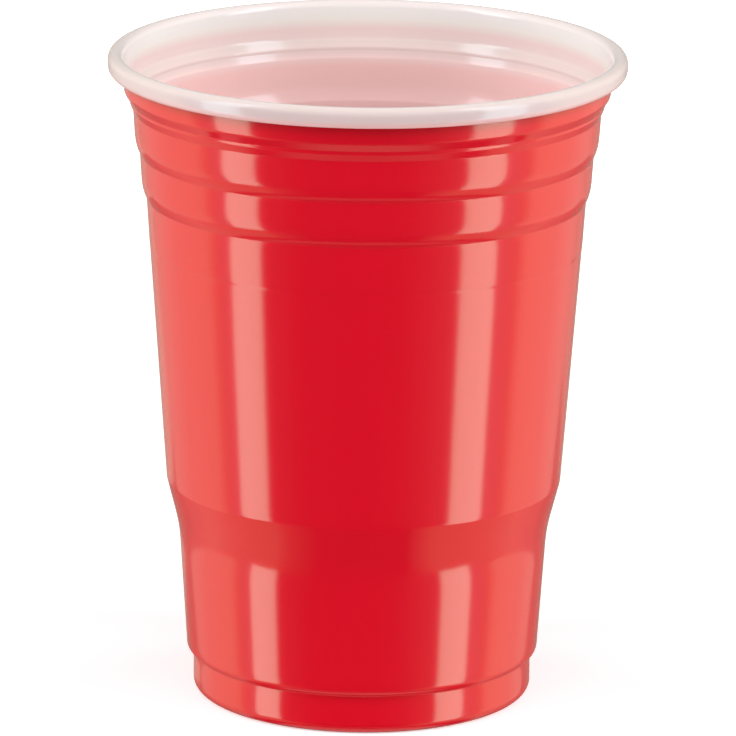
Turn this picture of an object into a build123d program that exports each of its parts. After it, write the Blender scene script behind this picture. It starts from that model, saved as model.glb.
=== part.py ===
from build123d import *
from math import radians, tan
import os

# A stackable party cup, thermoformed in one piece from a sheet of plastic: a hollow foot, a waist
# that tapers to it, two finger bands and a ridge below the mouth, and a lip rolled outward.
# Millimetres, +Z up, origin at the centre of the flat ring that the cup stands on.

# Overall size
height = 120.75
rim_diameter = 95.0
foot_diameter = 62.6

# The sheet
wall = 0.35

# Foot: a hollow ring around a raised floor
foot_height = 7.45
foot_round = 2.0
ring_width = 5.2
ring_slope = 1.5
floor_rise = 2.0
floor_round = 0.8

# Heel, where the wall overhangs the foot
heel_step = 1.2
heel_rise = 0.6
heel_round = 1.5
heel_crease = 0.4

# Shoulder between the waist and the body
shoulder_base = 31.5
shoulder_step = 1.75
shoulder_rise = 9.1
shoulder_round = 4.0
waist_round = 30.0

# The body, from the shoulder up to the faint ring, leans out this much more than the rest of the wall
body_lean = 0.007

# Faint ring below the bands, where two sections of the mould meet
mould_ring_drop = 9.15
mould_ring_step = 0.04
mould_ring_rise = 0.5
mould_ring_round = 0.8

# Finger bands
lower_band = 8.45
upper_band = 7.95
band_step = 0.71
band_rise = 1.6
band_round = 7.8
band_crease = 0.8

# Ridge above the bands
ridge_face = 0.56
ridge_rise = 1.37
ridge_step = 0.51
ridge_round = 0.5

# Neck below the lip
neck_face = 3.28
neck_rise = 1.63
neck_step = 0.93
neck_round = 1.5
neck_crease = 0.5

# Rolled lip
lip_width = 2.9
lip_height = 3.75
lip_round = 1.05
lip_gap = 0.3

# Heights, from the lip down to the faint ring
lip_base = height - lip_height
neck_base = lip_base - neck_face - neck_rise
ridge_base = neck_base - ridge_face - ridge_rise
upper_band_base = ridge_base - upper_band
lower_band_base = upper_band_base - lower_band
mould_ring_base = lower_band_base - mould_ring_drop
body_base = shoulder_base + shoulder_rise
body_height = mould_ring_base - body_base

# The outer face at the heel, and inside the roll
foot_radius = foot_diameter / 2
heel_radius = foot_radius + heel_step
heel_top = foot_height + heel_rise
roll_side = rim_diameter / 2 - wall
roll_root = rim_diameter / 2 - lip_width + wall
roll_top = height - wall
roll_floor = lip_base + wall

# Every place where the wall steps outward on its way up:
# height of its base, step, rise, radius of the crease, radius of the corner
steps = [
    (shoulder_base, shoulder_step, shoulder_rise, waist_round, shoulder_round),
    (mould_ring_base, mould_ring_step, mould_ring_rise, mould_ring_round, mould_ring_round),
    (lower_band_base, band_step, band_rise, band_crease, band_round),
    (upper_band_base, band_step, band_rise, band_crease, band_round),
    (ridge_base, ridge_step, ridge_rise, ridge_round, ridge_round),
    (neck_base, neck_step, neck_rise, neck_crease, neck_round),
]

# Steps and the body's extra lean aside, the wall leans out evenly, so its draft follows from the radii
stepped_out = sum(step[1] for step in steps) + body_lean * body_height
draft = (roll_root - heel_radius - stepped_out) / (roll_top - heel_top)

# Share of a straight that the roundings at its two ends may take up
straight_in_use = 0.98


def foot_corners():
    """The floor, the ring it stands on and the heel: each corner and the radius that rounds it."""
    ring_inside = foot_radius - ring_width
    return [
        ((ring_inside - ring_slope, floor_rise), floor_round),
        ((ring_inside, 0), floor_round),
        ((foot_radius, 0), foot_round),
        ((foot_radius, foot_height), heel_crease),
        ((heel_radius, heel_top), heel_round),
    ]


def leaning_out(z):
    """Radius that the wall would have at a height without its steps."""
    up_the_body = min(max(z - body_base, 0), body_height)
    return heel_radius + draft * (z - heel_top) + body_lean * up_the_body


def wall_corners():
    """The drafted wall from the heel to the lip, with a crease and a corner at every step."""
    corners = []
    steps_below = 0
    for base, step, rise, crease_round, corner_round in steps:
        corners.append(((leaning_out(base) + steps_below, base), crease_round))
        steps_below += step
        corners.append(((leaning_out(base + rise) + steps_below, base + rise), corner_round))
    return corners


def lip_corners():
    """The roll: over its top, down the outside and in under itself."""
    return [
        ((roll_root, roll_top), lip_round),
        ((roll_side, roll_top), lip_round),
        ((roll_side, roll_floor), lip_round),
    ]


def fitted_radii(points, wanted):
    """The wanted radii, each brought down where the straights beside it are too short."""
    runs = [end - start for start, end in zip(points, points[1:])]
    shares = [tan(radians(run.get_angle(following) / 2)) for run, following in zip(runs, runs[1:])]
    tangents = [0] + [radius * share for radius, share in zip(wanted, shares)] + [0]
    room = [straight_in_use * run.length / (tangents[i] + tangents[i + 1]) for i, run in enumerate(runs)]
    return [radius * min(1, before, after) for radius, before, after in zip(wanted, room, room[1:])]


def inner_face(points, radii):
    """The other face of the sheet, which lies to the left of the outer one by the wall.

    Where the outer face turns left, the inner radius is smaller by the wall, down to a sharp corner.
    Where it turns right, the inner radius is larger by the wall.
    """
    runs = [(end - start).normalized() for start, end in zip(points, points[1:])]
    sideways = [wall * Vector(-run.Y, run.X) for run in runs]
    inner_points = [points[0] + sideways[0]]
    inner_radii = []
    for i, (run, following) in enumerate(zip(runs, runs[1:])):
        miter = (sideways[i] + sideways[i + 1]) / (1 + run.dot(following))
        turns_left = run.cross(following).Z > 0
        inner_points.append(points[i + 1] + miter)
        inner_radii.append(max(0, radii[i] - wall) if turns_left else radii[i] + wall)
    return inner_points + [points[-1] + sideways[-1]], inner_radii


def sheet_section():
    """The sheet in section: up its outer face, and back down its inner face."""
    corners = foot_corners() + wall_corners() + lip_corners()
    floor_centre = (0, floor_rise)
    neck_radius = roll_root - draft * (roll_top - lip_base)
    tucked_edge = (neck_radius + lip_gap, roll_floor)
    points = [Vector(p) for p in [floor_centre] + [point for point, radius in corners] + [tucked_edge]]
    radii = fitted_radii(points, [radius for point, radius in corners])
    inner_points, inner_radii = inner_face(points, radii)
    outline = points + inner_points[::-1]
    roundings = [0] + radii + [0, 0] + inner_radii[::-1] + [0]
    return make_face(FilletPolyline(*outline, radius=roundings, close=True))


def cup():
    return revolve(Plane.XZ * sheet_section(), Axis.Z)


os.makedirs("parts", exist_ok=True)
export_step(cup(), "parts/cup.step")
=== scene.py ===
# %% [markdown]
# # A plastic party cup
#
# This lesson dresses one disposable cup. The cup is a single thermoformed sheet, red on the outside
# and white on the inside, so there is one piece to model and two finishes to make. The CAD model
# already gives its exact form. Blender adds a smooth mesh, the two colours of the sheet, the soft
# gloss of the plastic and the studio that the gloss mirrors.

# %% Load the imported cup
from math import pi, radians, tan

import bmesh
import bpy
from mathutils import Matrix, Vector


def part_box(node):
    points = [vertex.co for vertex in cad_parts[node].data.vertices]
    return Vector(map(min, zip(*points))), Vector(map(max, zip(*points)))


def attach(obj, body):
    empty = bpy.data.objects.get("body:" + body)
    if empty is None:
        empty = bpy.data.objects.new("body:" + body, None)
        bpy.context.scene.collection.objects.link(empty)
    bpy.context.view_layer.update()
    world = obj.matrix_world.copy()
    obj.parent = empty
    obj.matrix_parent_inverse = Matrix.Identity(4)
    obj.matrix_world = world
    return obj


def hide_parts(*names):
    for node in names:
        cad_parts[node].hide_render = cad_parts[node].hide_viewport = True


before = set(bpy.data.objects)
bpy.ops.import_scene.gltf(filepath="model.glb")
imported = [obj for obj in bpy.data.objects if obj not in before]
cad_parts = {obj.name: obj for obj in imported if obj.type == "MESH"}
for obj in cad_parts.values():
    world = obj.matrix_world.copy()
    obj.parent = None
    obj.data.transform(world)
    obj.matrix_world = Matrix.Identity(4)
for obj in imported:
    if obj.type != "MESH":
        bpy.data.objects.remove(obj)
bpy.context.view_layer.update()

MM = 0.001
foot, mouth = (Vector(corner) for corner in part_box("cup"))
height = mouth.z - foot.z
rim_radius = (mouth.x - foot.x) / 2
print(f"the cup is {height / MM:.1f} mm tall and {2 * rim_radius / MM:.1f} mm wide over the lip")

# %% [markdown]
# ## The section
#
# A formed cup is round, so its whole shape lies in one section through its axis. We could draw that
# section again with curves, but the CAD mesh already holds it, and a copy can't drift away from the
# model. So the CAD mesh is copied and merged, cut by the plane through the axis, and cleared on both
# sides of the cut. A second cut at the axis leaves the half that holds the seam of the CAD surfaces,
# where every point lies exactly on the true curve.

# %% Cut the section out of the CAD mesh
TOUCHING = 1e-6


def cut_at_origin(shape, normal, **cleared):
    """Cut a shape by a plane through the origin, and clear one side of it or both."""
    everything = [*shape.verts, *shape.edges, *shape.faces]
    bmesh.ops.bisect_plane(
        shape, geom=everything, dist=TOUCHING, plane_co=(0, 0, 0), plane_no=normal, **cleared
    )


cup = bmesh.new()
cup.from_mesh(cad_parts["cup"].data)
bmesh.ops.remove_doubles(cup, verts=cup.verts, dist=TOUCHING)
cut_at_origin(cup, (0, 1, 0), clear_inner=True, clear_outer=True)
cut_at_origin(cup, (-1, 0, 0), clear_outer=True)
print(f"the section is a line of {len(cup.verts)} points")

# %% [markdown]
# Smooth shading blends the direction of each face into its neighbours. On a long straight face that
# blend reaches far into a part that should look flat, and it bends the reflections there. Dividing
# the long straights keeps the blend short, next to the rounding that it belongs to.

# %% Divide the long straights
LONGEST_FACE = 1.6 * MM

straights = {}
for edge in cup.edges:
    straights.setdefault(int(edge.calc_length() / LONGEST_FACE), []).append(edge)
for cuts, edges in straights.items():
    if cuts:
        bmesh.ops.subdivide_edges(cup, edges=edges, cuts=cuts)
print(f"with its straights divided it has {len(cup.verts)} points")

# %% [markdown]
# ## The spin
#
# Turning the section about the axis gives even strips of faces all the way round, which the CAD mesh
# hasn't got. The spin leaves a bunch of points on the axis, in the middle of the floor, so they are
# merged before the faces are made to point outwards.

# %% Spin the section into the cup
STEPS_AROUND = 144

bmesh.ops.spin(
    cup,
    geom=[*cup.verts, *cup.edges],
    cent=(0, 0, 0),
    axis=(0, 0, 1),
    angle=2 * pi,
    steps=STEPS_AROUND,
    use_merge=True,
)
bmesh.ops.remove_doubles(cup, verts=cup.verts, dist=TOUCHING)
bmesh.ops.recalc_face_normals(cup, faces=cup.faces)
open_edges = sum(not edge.is_manifold for edge in cup.edges)
print(f"the cup has {len(cup.faces)} faces and {open_edges} open edges")
print(f"its plastic fills {cup.calc_volume() / MM ** 3:.0f} mm3")

# %% [markdown]
# ## The two sides of the sheet
#
# The sheet was cut once, and that cut edge is tucked away under the lip. Its two corners are the only
# sharp ones on the cup. So the outside is every face that can be reached from under the floor without
# crossing a sharp corner, and the rest is the inside, which the roll carries over the lip.

# %% Tell the outside from the inside
SHARP = radians(60)
OUTSIDE, INSIDE = 0, 1

for edge in cup.edges:
    edge.smooth = edge.calc_face_angle() < SHARP
pole = min((vert for vert in cup.verts if vert.co.xy.length < TOUCHING), key=lambda vert: vert.co.z)
outside = set(pole.link_faces)
newest = outside
while newest:
    newest = {f for face in newest for edge in face.edges if edge.smooth for f in edge.link_faces} - outside
    outside |= newest
for face in cup.faces:
    face.smooth = True
    face.material_index = OUTSIDE if face in outside else INSIDE
print(f"{len(outside)} faces are outside and {len(cup.faces) - len(outside)} inside")

# %% [markdown]
# The shape becomes a mesh, and the mesh an object. The next lines tell the frame what the object is: it
# rides on the only body, and it takes the place of the CAD model's cup.

# %% Make the piece
mesh = bpy.data.meshes.new("party_cup")
cup.to_mesh(mesh)
cup.free()


def add(name, data):
    """Put a new object at the origin of the scene."""
    thing = bpy.data.objects.new(name, data)
    bpy.context.collection.objects.link(thing)
    return thing


party_cup = add("party_cup", mesh)
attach(party_cup, "root")
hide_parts("cup")
print(f"{party_cup.name} is one mesh of {len(mesh.polygons)} faces")

# %% [markdown]
# ## Writing materials as sums
#
# A node tree is easier to read as a sum than as a web of wires. This small class holds one output of
# a node. Adding or multiplying it makes the Math node that does so, and `node` makes every other kind.

# %% A wire that can be added and multiplied
class Wire:
    """One output of a node in a tree, or the tree alone where no node is named yet."""

    def __init__(self, tree, socket=None):
        self.tree = tree
        self.socket = socket

    def node(self, kind, sockets=None, output=0, **settings):
        """Add a node with its settings, give its sockets values or wires, and return one output."""
        added = self.tree.nodes.new(kind)
        for name, value in settings.items():
            setattr(added, name, value)
        for name, value in (sockets or {}).items():
            if isinstance(value, Wire):
                self.tree.links.new(value.socket, added.inputs[name])
            else:
                added.inputs[name].default_value = value
        return Wire(self.tree, added.outputs[output] if added.outputs else None)

    def maths(self, operation, *values):
        """Add a Math node."""
        return self.node("ShaderNodeMath", dict(enumerate(values)), operation=operation)

    def __add__(self, other):
        return self.maths("ADD", self, other)

    def __sub__(self, other):
        return self.maths("SUBTRACT", self, other)

    def __rsub__(self, other):
        return self.maths("SUBTRACT", other, self)

    def __mul__(self, other):
        return self.maths("MULTIPLY", self, other)

    def __truediv__(self, other):
        return self.maths("DIVIDE", self, other)

    __radd__ = __add__
    __rmul__ = __mul__


print("a wire can be added, subtracted, multiplied and divided")

# %% [markdown]
# Four things come up again and again below: an empty material, a mix of two colours, a row of colours
# to read from, and a step that starts and ends softly. The Mix node keeps a set of sockets for each
# kind of value, and several of them have the same name, so its colours are called by their numbers.

# %% Four shortcuts
MIX_SHARE, MIX_FIRST, MIX_SECOND = 0, 6, 7
MIX_RESULT = 2


def new_material(name):
    """A material with an empty tree."""
    material = bpy.data.materials.new(name)
    material.use_nodes = True
    material.node_tree.nodes.clear()
    return material, Wire(material.node_tree)


def mixed(tree, share, first, second):
    """A colour that goes from the first to the second as the share goes from 0 to 1."""
    sockets = {MIX_SHARE: share, MIX_FIRST: first, MIX_SECOND: second}
    return tree.node("ShaderNodeMix", sockets, MIX_RESULT, data_type="RGBA")


def colors_along(tree, share, stops):
    """A colour by a share from 0 to 1, from stops that are each a share and a colour."""
    color = tree.node("ShaderNodeValToRGB", {0: share})
    elements = color.socket.node.color_ramp.elements
    while len(elements) < len(stops):
        elements.new(1)
    for element, (position, stop) in zip(elements, stops):
        element.position = position
        element.color = (*stop, 1)
    return color


def smooth_step(tree, value, start, end, low=0.0):
    """A share that goes softly from low to 1 as the value goes from start to end."""
    sockets = {"Value": value, "From Min": start, "From Max": end, "To Min": low}
    return tree.node("ShaderNodeMapRange", sockets, interpolation_type="SMOOTHSTEP")


print("shortcuts:", *(shortcut.__name__ for shortcut in (new_material, mixed, colors_along, smooth_step)))

# %% [markdown]
# ## The surface of a formed sheet
#
# The surface of both layers is as smooth as the mould that the sheet was drawn over, so a low roughness
# gives it clear reflections. A perfectly even surface would look like glass, though. A drawn sheet is
# stretched upwards, and it stays faintly uneven along the pull: a touch duller where it dragged on the
# mould, and never quite flat. Noise that is drawn out upwards gives both, a coarse one for the drag and
# a finer one for the ripples.

# %% Noise that is drawn out like the sheet
PULL = (1, 1, 0.12)
STREAK = 150
RIPPLE = 220
NOISE_DETAIL = 2.0


def own_place(tree):
    """The place of a point in the coordinates of its own object."""
    return tree.node("ShaderNodeTexCoord", output="Object")


def pulled_noise(tree, scale):
    """Noise that is drawn out upwards like the sheet."""
    drawn = tree.node("ShaderNodeVectorMath", {0: own_place(tree), 1: PULL}, operation="MULTIPLY")
    return tree.node("ShaderNodeTexNoise", {"Vector": drawn, "Scale": scale, "Detail": NOISE_DETAIL})


print(f"the streaks are about {1 / STREAK / MM:.0f} mm wide and {1 / STREAK / MM / PULL[2]:.0f} mm tall")

# %% The surface that both layers share
GLOSS = 0.11
DRAG = 0.015
RIPPLE_DEPTH = 0.006 * MM


def formed_plastic(tree, color, shine):
    """End a material in formed plastic of that colour and shine."""
    ripples = {"Height": pulled_noise(tree, RIPPLE), "Distance": RIPPLE_DEPTH}
    sockets = {
        "Base Color": color,
        "Roughness": GLOSS + DRAG * pulled_noise(tree, STREAK),
        "Normal": tree.node("ShaderNodeBump", ripples),
    }
    plastic = tree.node("ShaderNodeBsdfPrincipled", sockets | shine)
    tree.node("ShaderNodeOutputMaterial", {"Surface": plastic})


print(f"formed plastic is rough {GLOSS:.3f} to {GLOSS + DRAG:.3f}")

# %% [markdown]
# ## The red outside
#
# The outer layer is coloured right through, and its red is a little deeper along the same streaks, where
# the sheet is thicker. Right under the lip the red is darker still, and that is painted shade: it stands in
# for the shadow that the lip casts on the neck. A thin coat that is rougher than the plastic adds the haze
# around every bright reflection on such a cup. The shine is tinted away from blue, which turns the pale
# flanks salmon rather than pink.

# %% Red plastic
RED = (0.742, 0.001, 0.018)
DEEP_RED = (0.722, 0.001, 0.017)
# Painted shade: this darker red under the lip stands in for the lip's shadow on the neck.
LIP_SHADE_RED = (0.52, 0.001, 0.012)
LIP_SHADE_FULL_AT = 3.4 * MM
LIP_SHADE_ENDS_AT = 6.2 * MM
RED_SHINE = {
    "Specular IOR Level": 0.43,
    "Specular Tint": (0.85, 1.0, 0.68, 1),
    "Coat Weight": 0.10,
    "Coat Roughness": 0.27,
}


def along(tree, axis):
    """The X, Y or Z of a point's own place."""
    return tree.node("ShaderNodeSeparateXYZ", {0: own_place(tree)}, axis)


def depth_below_lip(tree):
    """How far a point lies below the top of the lip."""
    return mouth.z - along(tree, "Z")


red_plastic, tree = new_material("red_plastic")
wall_red = mixed(tree, pulled_noise(tree, STREAK), (*DEEP_RED, 1), (*RED, 1))
# Painted shade under the lip: the colour goes from the wall red to the shade red towards the lip.
drawn = smooth_step(tree, depth_below_lip(tree), LIP_SHADE_FULL_AT, LIP_SHADE_ENDS_AT)
formed_plastic(tree, mixed(tree, drawn, (*LIP_SHADE_RED, 1), wall_red), RED_SHINE)
print(f"the red deepens between {LIP_SHADE_ENDS_AT / MM:.1f} and {LIP_SHADE_FULL_AT / MM:.1f} mm below the top of the lip")

# %% [markdown]
# ## The white inside
#
# The inner layer is white and thin, and the red behind it shows through. How much it shows depends on how
# far the sheet was drawn: hardly at all on the thick lip, more and more down the first centimetre of the
# wall, and then slowly less again down to the floor, which was hardly stretched. This run also has light
# painted into it. The band just inside the lip is painted whiter for the light that shines through the thin
# sheet from behind. The upper steps of the wall are painted a little darker, as painted shade where they
# catch the light from above. So the colour runs down the depth below the lip. The outside of the roll gets
# a run of colours of its own, which is mostly painted light: a lighter crest, a shaded front, and a pink
# lower edge for the red light that comes from the neck behind it. A smooth step in the radius moves from
# one to the other.

# %% White plastic
RAMP_DEPTH = 120 * MM
# Painted light in the inside run: whiter just inside the lip for light through the sheet, and painted shade
# on the upper steps.
SKIN_AND_PAINTED_LIGHT = [
    (0.0, (0.95, 0.84, 0.82)),
    (1.5, (0.90, 0.90, 0.88)),
    (3.3, (0.89, 0.88, 0.83)),
    (5.2, (0.87, 0.70, 0.68)),
    (6.6, (0.87, 0.72, 0.70)),
    (7.4, (0.79, 0.66, 0.62)),
    (8.3, (0.83, 0.68, 0.65)),
    (9.3, (0.79, 0.62, 0.60)),
    (10.6, (0.92, 0.69, 0.67)),
    (12.0, (0.93, 0.61, 0.59)),
    (24.0, (0.94, 0.65, 0.64)),
    (60.0, (0.88, 0.66, 0.64)),
    (118.0, (0.88, 0.74, 0.72)),
]
# Painted light on the roll: a lighter crest, painted shade on its front, and a pink lower edge for the red
# light from the neck.
ROLL_WITH_PAINTED_LIGHT = [
    (0.0, (0.92, 0.76, 0.72)),
    (0.6, (0.81, 0.69, 0.66)),
    (1.2, (0.70, 0.57, 0.56)),
    (2.4, (0.70, 0.55, 0.54)),
    (3.1, (0.92, 0.60, 0.58)),
    (3.6, (0.95, 0.55, 0.53)),
]
ROLL_START = rim_radius - 1.6 * MM
ROLL_END = rim_radius - 0.3 * MM
WHITE_SHINE = {"Specular IOR Level": 0.35}


def down_the_wall(tree, stops):
    """A colour by the depth below the lip, from stops in millimetres."""
    shares = [(millimetres * MM / RAMP_DEPTH, color) for millimetres, color in stops]
    return colors_along(tree, depth_below_lip(tree) / RAMP_DEPTH, shares)


def from_the_axis(tree):
    """Distance from the axis of the cup."""
    level = tree.node("ShaderNodeVectorMath", {0: own_place(tree), 1: (1, 1, 0)}, operation="MULTIPLY")
    return tree.node("ShaderNodeVectorMath", {0: level}, "Value", operation="LENGTH")


white_plastic, tree = new_material("white_plastic")
turned_out = smooth_step(tree, from_the_axis(tree), ROLL_START, ROLL_END)
white = mixed(tree, turned_out, down_the_wall(tree, SKIN_AND_PAINTED_LIGHT), down_the_wall(tree, ROLL_WITH_PAINTED_LIGHT))
formed_plastic(tree, white, WHITE_SHINE)
print(f"the white layer changes colour over {SKIN_AND_PAINTED_LIGHT[-1][0]:.0f} mm of depth")

# %% [markdown]
# The material slots of a mesh are numbered in the order in which they are filled, so the red goes in
# first, as number 0, where the outside faces look for it.

# %% Give the cup its two finishes
mesh.materials.append(red_plastic)
mesh.materials.append(white_plastic)
print("finishes:", *(material.name for material in mesh.materials))

# %% [markdown]
# ## The floor
#
# The cup stands on a plain white floor that runs on into a white room, so no horizon shows. The floor
# has to do two things that pull apart: catch the soft shadow of the cup, and be pure white further
# away. So it is a pale diffuse sheet, lit by the lamps like anything else, plus a glow that only camera
# rays see. The glow is weaker next to the foot, where the shadow lies, and grows away from it. From
# below the floor is clear, so that the underside of the cup can be looked at.

# %% Make the floor
FLOOR_REACH = 6
PAPER = (0.88, 0.84, 0.84)
SHADOW_EDGE = 0.05
WHITE_FROM = 0.6
NEAR_GLOW = 0.5


def sheet_object(name, shape, material):
    """Turn a bmesh into an object of the studio, which isn't part of the cup."""
    data = bpy.data.meshes.new(name)
    shape.to_mesh(data)
    shape.free()
    data.materials.append(material)
    thing = add(name, data)
    return thing


white_floor, tree = new_material("white_floor")
glow = smooth_step(tree, from_the_axis(tree), SHADOW_EDGE, WHITE_FROM, low=NEAR_GLOW)
glow = glow * tree.node("ShaderNodeLightPath", output="Is Camera Ray")
lit = tree.node("ShaderNodeBsdfDiffuse", {"Color": (*PAPER, 1)})
shining = tree.node("ShaderNodeEmission", {"Color": glow})
paper = tree.node("ShaderNodeAddShader", {0: lit, 1: shining})
clear = tree.node("ShaderNodeBsdfTransparent")
from_below = tree.node("ShaderNodeNewGeometry", output="Backfacing")
either = tree.node("ShaderNodeMixShader", {0: from_below, 1: paper, 2: clear})
tree.node("ShaderNodeOutputMaterial", {"Surface": either})

floor_shape = bmesh.new()
bmesh.ops.create_grid(floor_shape, x_segments=1, y_segments=1, size=FLOOR_REACH)
floor = sheet_object("floor", floor_shape, white_floor)
floor.visible_glossy = False
print(f"the floor reaches {FLOOR_REACH} m each way, and its glow grows up to {WHITE_FROM} m from the axis")

# %% [markdown]
# ## Directions
#
# The places of camera, lamps and cards are easiest to name the way a studio does: so far round, so far
# up, so far away. Azimuth 0 is the camera's side and it counts to the right. Camera and lamps look at
# one point, a little above the middle of the cup and a hair to the right of its axis.

# %% Turn an azimuth and an elevation into a place
AIM = Vector((0.62 * MM, 0, 61.10 * MM))
FRONT = Vector((0, -1, 0))


def toward(azimuth, elevation):
    """The direction at an azimuth and an elevation."""
    lift = Matrix.Rotation(-radians(elevation), 3, "X")
    turn = Matrix.Rotation(radians(azimuth), 3, "Z")
    return turn @ lift @ FRONT


def facing(direction, distance):
    """A place that far from the aim, turned to look at it."""
    turned = direction.to_track_quat("Z", "Y").to_matrix().to_4x4()
    return Matrix.Translation(AIM + distance * direction) @ turned


print("the right-hand side is towards", *(round(part, 3) for part in toward(90, 0)))

# %% [markdown]
# ## The camera
#
# The cup is seen from a little above, so the mouth shows as a narrow oval and the far inside wall shows
# white over the near lip. A long lens from more than a metre away keeps the perspective gentle. The
# camera is tilted by a fraction of a degree, as one held by hand would be, so the cup leans a touch.
# The film and the lens are given in millimetres.

# %% Place the camera
VIEW_ELEVATION = 14.78
VIEW_DISTANCE = 1.4
VIEW_TILT = 0.60
FILM_WIDTH = 36
LENS = 371.2
NEAREST_SEEN = 0.1
FURTHEST_SEEN = 50

camera = add("camera", bpy.data.cameras.new("camera"))
bpy.context.scene.camera = camera
tilt = Matrix.Rotation(radians(VIEW_TILT), 4, "Z")
camera.matrix_world = facing(toward(0, VIEW_ELEVATION), VIEW_DISTANCE) @ tilt
camera.data.sensor_width = FILM_WIDTH
camera.data.lens = LENS
camera.data.clip_start = NEAREST_SEEN
camera.data.clip_end = FURTHEST_SEEN
print(f"the camera is {camera.location.z / MM:.0f} mm above the floor")

# %% [markdown]
# ## The lamps
#
# A glossy round thing needs two separate kinds of light. The first is the even light that makes the red
# red and the white white. It comes from large soft lamps to the left and right, with weaker ones above
# and behind. They are hidden from reflections, because a lamp that is strong enough to light the cup
# would burn a white patch into the gloss. Their brightness is set so that a colour looks as it is
# written and the crest of the lip stays just below pure white.

# %% Hang the soft lamps
LAMP_DISTANCE = 1.3
UPRIGHT = (0.6, 0.8)
BROAD = (1.0, 0.7)


def softbox(name, azimuth, elevation, size, brightness):
    """A soft rectangular lamp of an even brightness, whatever its size."""
    width, tall = size
    light = bpy.data.lights.new(name, "AREA")
    light.shape = "RECTANGLE"
    light.size = width
    light.size_y = tall
    light.energy = brightness * pi * width * tall
    lamp = add(name, light)
    lamp.matrix_world = facing(toward(azimuth, elevation), LAMP_DISTANCE)
    lamp.visible_glossy = False
    lamp.visible_camera = False
    print(f"{name} gives {light.energy:.1f} W")


softbox("left_softbox", azimuth=-67, elevation=27, size=UPRIGHT, brightness=7.6)
softbox("right_softbox", azimuth=65, elevation=27, size=UPRIGHT, brightness=7.8)
softbox("top_softbox", azimuth=0, elevation=60, size=BROAD, brightness=1.7)
softbox("back_left_softbox", azimuth=-115, elevation=25, size=UPRIGHT, brightness=2.0)
softbox("back_right_softbox", azimuth=115, elevation=25, size=UPRIGHT, brightness=2.0)

# %% [markdown]
# ## What the gloss mirrors
#
# The second kind of light is what the gloss shows. A round wall mirrors the whole room, squeezed: a
# spot of the cup that is turned by some angle from the camera mirrors what stands at twice that angle.
# So the two bright stripes down the front are two narrow strip lamps to the sides of the camera, the
# pale flanks are white panels beside the cup, and the dark front between the stripes is the dark room
# behind the camera.
#
# All of these are cards that shine only into the gloss. Camera, diffuse and shadow rays pass through
# them, so each one can be set without changing the light on the cup. A card's material is a colour ramp
# over one measure of its place, such as its azimuth, from stops of brightness.

# %% Make a card that only the gloss can see
HIDDEN_FROM = ("camera", "diffuse", "shadow", "transmission")
NO_TINT = (1, 1, 1)


def glowing(name, measure, stops, tint):
    """A material that shines by a measure of its place, from stops of brightness."""
    material, tree = new_material(name)
    brightest = max(value for _, value in stops) * max(tint)
    colors = [(spot, tuple(value * channel / brightest for channel in tint)) for spot, value in stops]
    color = colors_along(tree, measure(tree), colors)
    shine = tree.node("ShaderNodeEmission", {"Color": color, "Strength": brightest})
    tree.node("ShaderNodeOutputMaterial", {"Surface": shine})
    material.cycles.emission_sampling = "NONE"
    return material


def card(name, shape, material):
    """A sheet of the studio that only glossy rays see."""
    sheet = sheet_object(name, shape, material)
    for ray in HIDDEN_FROM:
        setattr(sheet, f"visible_{ray}", False)
    print(f"{name} is {sheet.dimensions.x:.2f} x {sheet.dimensions.y:.2f} x {sheet.dimensions.z:.2f} m")


print("a card is hidden from these rays:", *HIDDEN_FROM)

# %% [markdown]
# A curved card is an upright line, spun about the axis of the cup from its first stop to its last. Its
# brightness runs along the azimuth, which the arctangent of the sideways and the forward distance
# gives. The same angle counts on both sides, so the left and the right cards share one measure.

# %% Curved cards
LEFT, RIGHT = -1, 1
SLICES = 24
HALF_TURN = 180


def azimuth_share(tree):
    """Azimuth from the camera's side, from 0 in front to 1 behind, on either side."""
    sideways = tree.maths("ABSOLUTE", along(tree, "X"))
    return tree.maths("ARCTAN2", sideways, -1 * along(tree, "Y")) / pi


def curved_card(name, side, stops, elevations, distance, tint):
    """A card round one side of the axis, between two elevations, with stops in degrees."""
    start, end = sorted((side * stops[0][0], side * stops[-1][0]))
    shape = bmesh.new()
    foot_of_line = toward(start, 0) * distance
    for elevation in elevations:
        rise = Vector((0, 0, distance * tan(radians(elevation))))
        bmesh.ops.create_vert(shape, co=foot_of_line + rise)
    bmesh.ops.contextual_create(shape, geom=shape.verts[:])
    bmesh.ops.spin(
        shape,
        geom=[*shape.verts, *shape.edges],
        cent=(0, 0, 0),
        axis=(0, 0, 1),
        angle=radians(end - start),
        steps=SLICES,
    )
    shares = [(degrees / HALF_TURN, value) for degrees, value in stops]
    card(name, shape, glowing(name, azimuth_share, shares, tint))


print(f"a curved card is spun in {SLICES} slices")

# %% [markdown]
# The stripes fall off to one side, like light from a lamp that stands close to a wall: a sharp bright
# band, a soft spill towards the front and a pale wall outside. The gloss of the real stripes is a
# little colder than the red under it, so their cards are tinted that way.

# %% The strip lamps
STRIP_DISTANCE = 1.0
STRIP_TINT = (0.72, 1.03, 1.12)
LEFT_STRIP_BAND = (-28, 60)
RIGHT_STRIP_BAND = (-29.8, 60)
LEFT_STRIP = [
    (12, 0.03),
    (35, 0.08),
    (45, 0.20),
    (55.8, 0.32),
    (57.8, 6.3),
    (75.2, 6.3),
    (76.4, 1.2),
    (84, 1.2),
]
RIGHT_STRIP = [
    (5, 0.03),
    (22, 0.10),
    (32, 0.22),
    (42, 0.42),
    (50.3, 0.60),
    (52.3, 6.3),
    (72.0, 6.7),
    (73.4, 1.25),
    (84, 1.25),
]

curved_card("left_strip", LEFT, LEFT_STRIP, LEFT_STRIP_BAND, STRIP_DISTANCE, STRIP_TINT)
curved_card("right_strip", RIGHT, RIGHT_STRIP, RIGHT_STRIP_BAND, STRIP_DISTANCE, STRIP_TINT)

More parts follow.
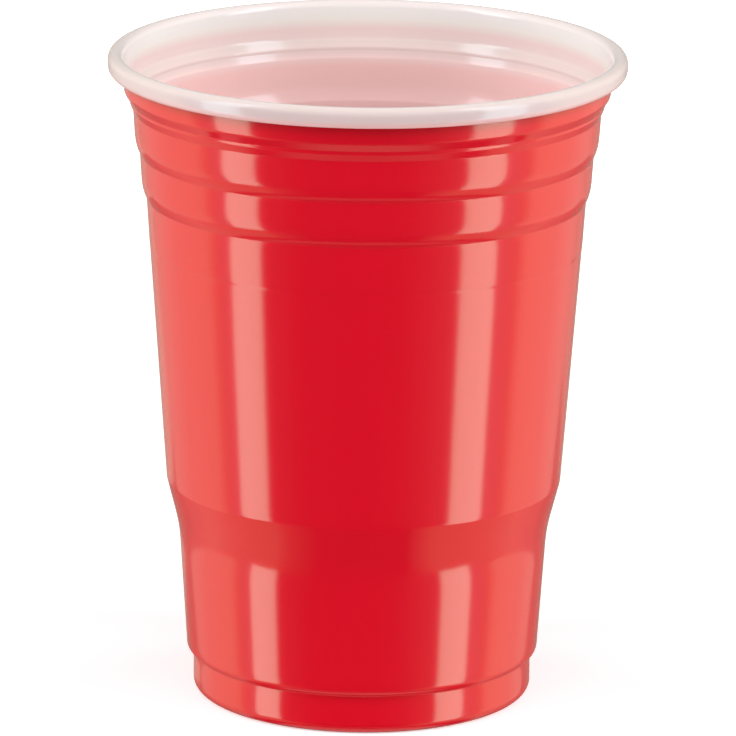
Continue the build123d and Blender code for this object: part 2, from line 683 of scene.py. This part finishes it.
# %% [markdown]
# Further out stands the room, which is pale at the sides and dimmer behind. Where the wall of the cup
# turns down, at the shoulder and under the bands, it looks past the lower ends of the strips and mirrors
# the room. Just inside the room two more cards hang behind the cup, and its outline mirrors those.

# %% The room around
ROOM_DISTANCE = 6.0
ROOM_BAND = (-48, 5)
ROOM_TINT = (1.0, 1.0, 0.82)
LEFT_ROOM = [(30, 0.03), (52, 0.5), (62, 1.2), (112, 1.2), (128, 0.7), (145, 0.35), (178, 0.3)]
RIGHT_ROOM = [(30, 0.05), (50, 1.2), (112, 1.2), (128, 0.7), (145, 0.35), (178, 0.3)]
BACK_DISTANCE = 5.8
LEFT_BACK_BAND = (-17.4, 60)
RIGHT_BACK_BAND = (-16.4, 60)
LEFT_BACK = [(146, 0.9), (158, 0.65), (165, 0.5), (178, 0.4), (180, 0.4)]
RIGHT_BACK = [(146, 0.85), (158, 0.5), (165, 0.4), (180, 0.4)]

curved_card("left_room", LEFT, LEFT_ROOM, ROOM_BAND, ROOM_DISTANCE, ROOM_TINT)
curved_card("right_room", RIGHT, RIGHT_ROOM, ROOM_BAND, ROOM_DISTANCE, ROOM_TINT)
curved_card("left_back", LEFT, LEFT_BACK, LEFT_BACK_BAND, BACK_DISTANCE, ROOM_TINT)
curved_card("right_back", RIGHT, RIGHT_BACK, RIGHT_BACK_BAND, BACK_DISTANCE, ROOM_TINT)

# %% [markdown]
# The pale flanks come from two flat panels, which stand on either side of the cup and run back along
# the line of sight. A flat panel matters here. The steeply turned wall near the outline looks along
# it to its dim far end, so the flanks darken softly towards the outline, as on the real cup.

# %% The side panels
PANEL_SIDE = 1.0
PANEL_FRONT = -0.4
PANEL_LENGTH = 4.4
PANEL_BOTTOM = -0.5
PANEL_TOP = 1.7
LEFT_PANEL = [
    (-0.4, 1.1),
    (-0.07, 1.3),
    (0.04, 2.1),
    (0.25, 1.75),
    (0.53, 1.3),
    (0.93, 1.0),
    (1.73, 0.62),
    (3.7, 0.3),
]
RIGHT_PANEL = [
    (-0.4, 1.1),
    (-0.07, 1.2),
    (0.07, 2.15),
    (0.25, 1.9),
    (0.53, 1.4),
    (0.93, 1.1),
    (1.73, 0.55),
    (3.7, 0.25),
]


def share_back(tree):
    """Share of the panel's length, from its front end to its far end."""
    return (along(tree, "Y") - PANEL_FRONT) / PANEL_LENGTH


def side_panel(name, side, stops):
    """A flat upright panel beside the cup, with stops in metres behind the cup."""
    shape = bmesh.new()
    for z in (PANEL_BOTTOM, PANEL_TOP):
        bmesh.ops.create_vert(shape, co=(side * PANEL_SIDE, PANEL_FRONT, z))
    front_edge = bmesh.ops.contextual_create(shape, geom=shape.verts[:])["edges"]
    pulled = bmesh.ops.extrude_edge_only(shape, edges=front_edge)["geom"]
    corners = [part for part in pulled if isinstance(part, bmesh.types.BMVert)]
    bmesh.ops.translate(shape, verts=corners, vec=(0, PANEL_LENGTH, 0))
    shares = [((metres - PANEL_FRONT) / PANEL_LENGTH, value) for metres, value in stops]
    card(name, shape, glowing(name, share_back, shares, ROOM_TINT))


side_panel("left_panel", LEFT, LEFT_PANEL)
side_panel("right_panel", RIGHT, RIGHT_PANEL)

# %% [markdown]
# The steps of the cup face downwards, and in front they mirror the table. The thin bright lines along
# the creases come from there. One round card lies below the floor for them, bright in the middle, dark
# in a ring and bright again at its rim. Its stops are in metres from the axis.

# %% The table below
TABLE_DROP = 0.5
TABLE_RADIUS = 0.5
TABLE_CORNERS = 48
TABLE_STOPS = [(0.0, 0.9), (0.24, 0.85), (0.30, 0.1), (0.41, 0.1), (0.44, 0.75), (0.50, 0.75)]

table_shape = bmesh.new()
bmesh.ops.create_circle(
    table_shape,
    cap_ends=True,
    segments=TABLE_CORNERS,
    radius=TABLE_RADIUS,
    matrix=Matrix.Translation((0, 0, -TABLE_DROP)),
)
card("table_glow", table_shape, glowing("table_glow", from_the_axis, TABLE_STOPS, NO_TINT))

# %% [markdown]
# ## The room's own light
#
# Past all the cards there is only the world. The camera sees it as pure white, which makes the
# background, while everything else sees it as almost dark, so it adds next to no light of its own. The
# Standard view then shows every colour as it comes, with no film look on top.

# %% Light the world
DARK = 0.04
WHITE = 1.0

world = bpy.data.worlds.new("studio")
bpy.context.scene.world = world
world.use_nodes = True
world.node_tree.nodes.clear()
tree = Wire(world.node_tree)
camera_ray = tree.node("ShaderNodeLightPath", output="Is Camera Ray")
strength = tree.node("ShaderNodeMapRange", {"Value": camera_ray, "To Min": DARK, "To Max": WHITE})
background = tree.node("ShaderNodeBackground", {"Color": (1, 1, 1, 1), "Strength": strength})
tree.node("ShaderNodeOutputWorld", {"Surface": background})
bpy.context.scene.view_settings.view_transform = "Standard"
print(f"the world is {WHITE} to the camera and {DARK} to everything else")
